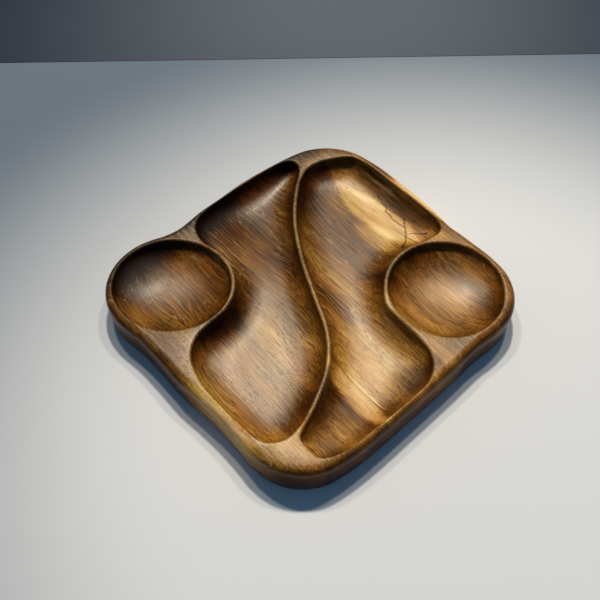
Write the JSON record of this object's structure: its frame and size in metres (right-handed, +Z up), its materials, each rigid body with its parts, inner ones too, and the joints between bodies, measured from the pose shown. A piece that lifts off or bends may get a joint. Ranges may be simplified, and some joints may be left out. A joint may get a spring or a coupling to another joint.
{
  "type": "divided wooden snack dish",
  "caption": "Rounded-square carved wooden serving dish with round bowls in opposite corners and curved bays on either side of a thin winding ridge.",
  "frame": {"origin": "middle of the dish's outline, on its underside", "axes": "+Z up out of the carved face, +X along the grain and the glue lines, +Y across them from the front edge to the back edge"},
  "size_m": [0.299, 0.314, 0.032],
  "materials": {
    "front_edge_walnut": "sanded walnut, paler along the front edge, under a satin clear coat",
    "front_walnut": "sanded walnut with a strip of cream sapwood, under a satin clear coat",
    "middle_walnut": "sanded walnut, golden brown, under a satin clear coat",
    "back_walnut": "sanded walnut heartwood with a cream sapwood patch, under a satin clear coat",
    "back_edge_walnut": "sanded walnut with pale sapwood at the rim, under a satin clear coat"
  },
  "bodies": {
    "root": {"stave_1_front_edge": "front_edge_walnut", "stave_2": "front_walnut", "stave_3_middle": "middle_walnut", "stave_4": "back_walnut", "stave_5_back_edge": "back_edge_walnut"}
  },
  "joints": []
}
